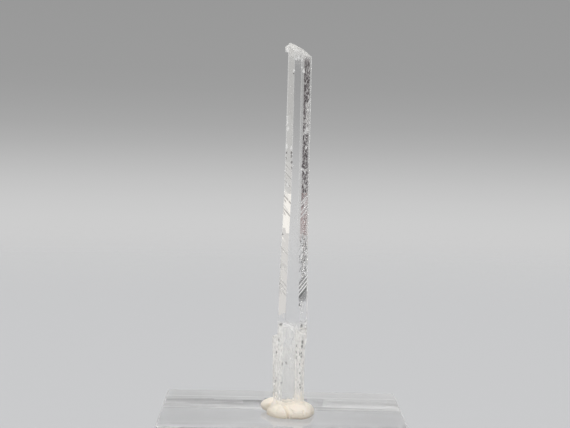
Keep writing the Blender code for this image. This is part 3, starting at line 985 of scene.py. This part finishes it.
def crystal_material():
    """Clear glassy mineral: frosted at the broken end and on the foot, etched down the right bevel, with
    painted highlights and painted shade for the light and dark its faces refract.
    """
    made, tree = material("clear_nifontovite")
    place, (x, y, z) = tree.place()
    names = ("left", "front_left", "front_right", "bevel", "right")
    edges = Group(**{name: upright_edge(tree, z, i) for i, name in enumerate(names, 1)})
    on_front = y.step(-1.42, -1.48)
    broken = tree.streaks(place, (1.0, 1.0, 1.6), 3.0, 0.7)

    end = broken_end(tree, place, x, y, z)
    foot = overgrown_foot(tree, place, x, y, z)
    bright = bright_edges(x, y, z, edges, on_front, broken)
    etched = etched_bevel(tree, place, x, y, z, edges, on_front)
    grown = grown_bevel(x, z, edges, broken)
    bruises = dots(tree, place, BRUISES)
    # Painted shade in the etched pits.
    dark = dots(tree, place, SHADED_HOLLOWS)

    # How white and how dark each mark is. The frosted end and foot and the putty smear are the crystal's
    # own; the glints, bright edges, crown, white lines and flecks are painted highlights, and all the dark
    # is painted shade.
    glint = (bright.arris + bright.strip_edge + foot.crown + bright.corners + etched.lines).at_most(1.0)
    glint = glint.at_least(bruises)
    white_part = (0.92 * end.frosted + 0.16 * end.dusted + 0.38 * foot.veil + 0.54 * foot.column_veil
                  + 0.70 * foot.crown + 0.9 * foot.smear + 0.42 * bright.arris + 0.22 * bright.strip
                  + 0.25 * bright.strip_edge + 0.40 * bright.corners + etched.white + 0.42 * grown.lines
                  + 0.16 * etched.dust)
    white_part = white_part.at_least(0.92 * bruises).at_most(0.94) * (1 - 0.85 * dark)
    dark_part = (0.02 + 0.85 * etched.hollows + 0.72 * dark + 0.34 * grown.shades + 0.50 * grown.cracks
                 + 0.60 * end.pits * end.frosted).at_most(0.88) * (1 - bruises)

    waves = tree.streaks(place, (5.0, 5.0, 0.6), 1.0, 0.5)
    fine = tree.streaks(place, (2.2, 2.2, 0.25), 1.0, 0.4)
    on_foot = z.step(22.6, 21.8)
    height = etched.relief + 0.055 * on_foot * waves + 0.7 * end.frosted * end.ragged + 0.03 * fine
    normal = tree.bump(height, 0.06 * MM)

    pale = tree.mix(z.step(22.8, 22.2), (0.80, 0.79, 0.765, 1), (0.90, 0.888, 0.862, 1))
    pale = tree.mix(glint, pale, (0.96, 0.955, 0.94, 1))
    pale = tree.mix(foot.smear, pale, (0.98, 0.935, 0.86, 1))
    shade = tree.mix(z.step(32.0, 31.0), (0.048, 0.036, 0.040, 1), (0.11, 0.11, 0.112, 1))
    shade = tree.mix(etched.brown, shade, (0.39, 0.250, 0.240, 1))
    color = tree.mix((dark_part / (white_part + dark_part + 0.001)).at_most(1.0), pale, shade)
    marked = tree.principled(Base_Color=color, Roughness=0.6, IOR=CRYSTAL_IOR, Transmission_Weight=0.3,
                             Normal=normal)
    clear = tree.glass((1, 1, 1, 1), CRYSTAL_IOR, normal)
    tree.finish(tree.blend((white_part + dark_part).at_most(0.94), clear, marked))
    return made


# The putty ----------------------------


def model_putty(crystal):
    """Lobes pressed together, smoothed into one pad, with a socket that hugs the crystal's foot."""
    lobes = []
    for x, y, along, across, height, waist, turn in LOBES:
        bpy.ops.mesh.primitive_uv_sphere_add(segments=48, ring_count=32, radius=MM)
        lobe = new_piece("putty_lobe")
        mesh = edit(lobe)
        for vert in mesh.verts:
            px, py, pz = vert.co / MM
            pz *= (height - waist) if pz > 0 else 1.1 * waist
            vert.co = Vector((px * along, py * across, pz)) * MM
        bmesh.update_edit_mesh(lobe.data)
        leave_edit()
        lobe.rotation_euler.z = math.radians(turn)
        lobe.location = (x * MM, y * MM, BLOCK_TOP + waist * MM)
        settle(lobe)
        lobes.append(lobe)
    putty = lobes[0]
    for lobe in lobes[1:]:
        combine(putty, lobe, "UNION")
    apply_modifier(putty, "REMESH", mode="VOXEL", voxel_size=PUTTY_GRID, adaptivity=0.0)
    apply_modifier(putty, "SMOOTH", factor=0.5, iterations=2)
    edit(putty)
    cut_level(PUTTY_SEAT, clear_inner=True)
    leave_edit()
    crease(putty)
    combine(putty, model_socket(crystal), "DIFFERENCE")
    clean(putty)
    putty.name = "mounting_putty_pressed"
    only(putty)
    bpy.ops.object.shade_smooth_by_angle(angle=math.radians(50))
    return putty


def crease(putty):
    """Press the creases in, and give the skin the slight waves of fingers."""
    mesh = edit(putty)
    mesh.normal_update()
    moves = []
    for vert in mesh.verts:
        place = vert.co / MM
        push = 0.035 * noise.noise(place * 1.3) + 0.012 * noise.noise(place * 4.0)
        for start, end, depth, width, low, high in CREASES:
            start, end = Vector(start), Vector(end)
            along = max(0.0, min(1.0, (place.xy - start).dot(end - start) / (end - start).length_squared))
            away = (place.xy - start.lerp(end, along)).length
            if away < 3 * width and low < place.z < high:
                fade = min(1.0, (place.z - low) / 0.1, (high - place.z) / 0.1)
                push -= fade * depth * math.exp(-(away / width) ** 2)
        moves.append(vert.normal * push * MM * min(1.0, max(0.0, (place.z - PUTTY_SEAT / MM) / 0.15)))
    for vert, move in zip(mesh.verts, moves):
        vert.co += move
    bmesh.update_edit_mesh(putty.data)
    leave_edit()


def model_socket(crystal):
    """The crystal's foot, a hair wider, to be pressed into the putty."""
    only(crystal)
    bpy.ops.object.duplicate()
    socket = new_piece("socket")
    edit(socket)
    cut_level(SOCKET_TOP, clear_outer=True)
    bpy.ops.mesh.select_all(action="SELECT")
    bpy.ops.transform.resize(value=SOCKET_GROWTH, center_override=SOCKET_MIDDLE)
    bpy.ops.transform.translate(value=(0, 0, -SOCKET_DROP))
    leave_edit()
    return socket


def putty_material():
    """Cream mineral putty: soft, a little waxy, with thumbed streaks and fine grit."""
    made, tree = material("cream_putty")
    place, (_, _, z) = tree.place()
    clouds = tree.noise(place, 0.9, 3.0, 0.5)
    grit = tree.noise(place, 14.0, 2.0, 0.6)
    pulled = tree.noise(tree.stretched(place, (1.0, 1.0, 3.0)), 2.2, 3.0, 0.55)
    # Darker and browner towards the block: painted shade where the putty curves under.
    low = z.step(13.6, 12.75)
    color = tree.mix(clouds, (0.84, 0.78, 0.69, 1), (0.80, 0.73, 0.63, 1))
    color = tree.mix(0.55 * low, color, (0.50, 0.42, 0.31, 1))
    normal = tree.bump(pulled + 0.10 * grit, 0.10 * MM)
    tree.finish(tree.principled(
        Base_Color=color, Roughness=pulled.step(0.3, 0.7, 0.5, 0.68), IOR=PUTTY_IOR, Normal=normal,
        Subsurface_Weight=0.25, Subsurface_Radius=(1.0, 0.7, 0.45), Subsurface_Scale=0.35 * MM,
    ))
    return made


# The block ----------------------------


def model_block():
    """A sawn and polished block: a cube at its size, its edges broken and rounded."""
    low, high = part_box("acrylic_block")
    low, high = Vector(low), Vector(high)
    bpy.ops.mesh.primitive_cube_add(size=1.0, location=(low + high) / 2, scale=high - low)
    block = new_piece("acrylic_block_polished")
    settle(block)
    edit(block)
    bpy.ops.mesh.bevel(offset=BLOCK_EDGE_WIDTH, segments=3, affect="EDGES")
    leave_edit()
    clean(block)
    only(block)
    bpy.ops.object.shade_smooth_by_angle(angle=math.radians(40))
    return block


def block_material():
    """Clear cast acrylic: a pale line, a darker band and a faint haze on its sides, and edges whitened as
    painted highlights.
    """
    made, tree = material("clear_acrylic")
    place, (x, y, z) = tree.place()
    off_middle = z.away(BLOCK_MIDDLE)
    # The edges are whitened as painted highlights, the upright corners most.
    edges = [v.away(0.0).step(12.42, 12.60) for v in (x, y)] + [off_middle.step(6.08, 6.26)]
    edge = (1.8 * edges[0] * edges[1] + edges[1] * edges[2] + edges[0] * edges[2]).at_most(1.8)

    drift = tree.streaks(place, (0.22, 0.22, 0.22), 1.0, 0.5)
    on_side = off_middle.step(6.2, 6.0)
    pale_line = (z + 0.5 * (drift - 0.5)).away(7.7).step(0.42, 0.10)
    foot_line = z.away(0.55).step(0.75, 0.25)
    dark_band = z.band(4.6, 7.0, 0.8) * (x + 3.0 * (drift - 0.5)).step(2.0, -6.0)
    bloom = z.band(0.9, 12.3, 0.5) * (x + 4.0 * (drift - 0.5)).step(-9.0, 3.0, 0.06, 0.16)
    highlights_and_bands = on_side * (0.30 * pale_line + 0.22 * dark_band + 0.28 * foot_line + bloom) + 0.30 * edge
    band_and_highlight_color = tree.mix(dark_band * on_side, (0.95, 0.95, 0.95, 1), (0.16, 0.17, 0.18, 1))

    scratches = tree.streaks(place, (0.4, 6.0, 6.0), 3.0, 0.6).step(0.66, 0.74)
    normal = tree.bump(0.02 * scratches * z.step(12.5, 12.65), 0.03 * MM)
    clear = tree.glass((0.95, 0.95, 0.95, 1), ACRYLIC_IOR, normal)
    whitened_acrylic = tree.principled(Base_Color=band_and_highlight_color, Roughness=0.55, IOR=ACRYLIC_IOR, Transmission_Weight=0.2,
                           Normal=normal)
    tree.finish(tree.blend(highlights_and_bands.at_most(0.6), clear, whitened_acrylic))
    return made


# Making -------------------------------

scene = bpy.context.scene
scene.view_settings.view_transform = "Standard"
scene.cycles.max_bounces = LIGHT_BOUNCES
scene.cycles.glossy_bounces = LIGHT_BOUNCES
scene.cycles.transmission_bounces = LIGHT_BOUNCES
scene.cycles.blur_glossy = 0.0

build_camera()
build_world()
build_floor()
build_cards()
build_softbox()

crystal = model_crystal()
putty = model_putty(crystal)
block = model_block()
dress(crystal, crystal_material(), "nifontovite_crystal")
dress(putty, putty_material(), "mounting_putty")
dress(block, block_material(), "acrylic_block")

for clear_piece in (crystal, block):
    clear_piece.visible_shadow = False
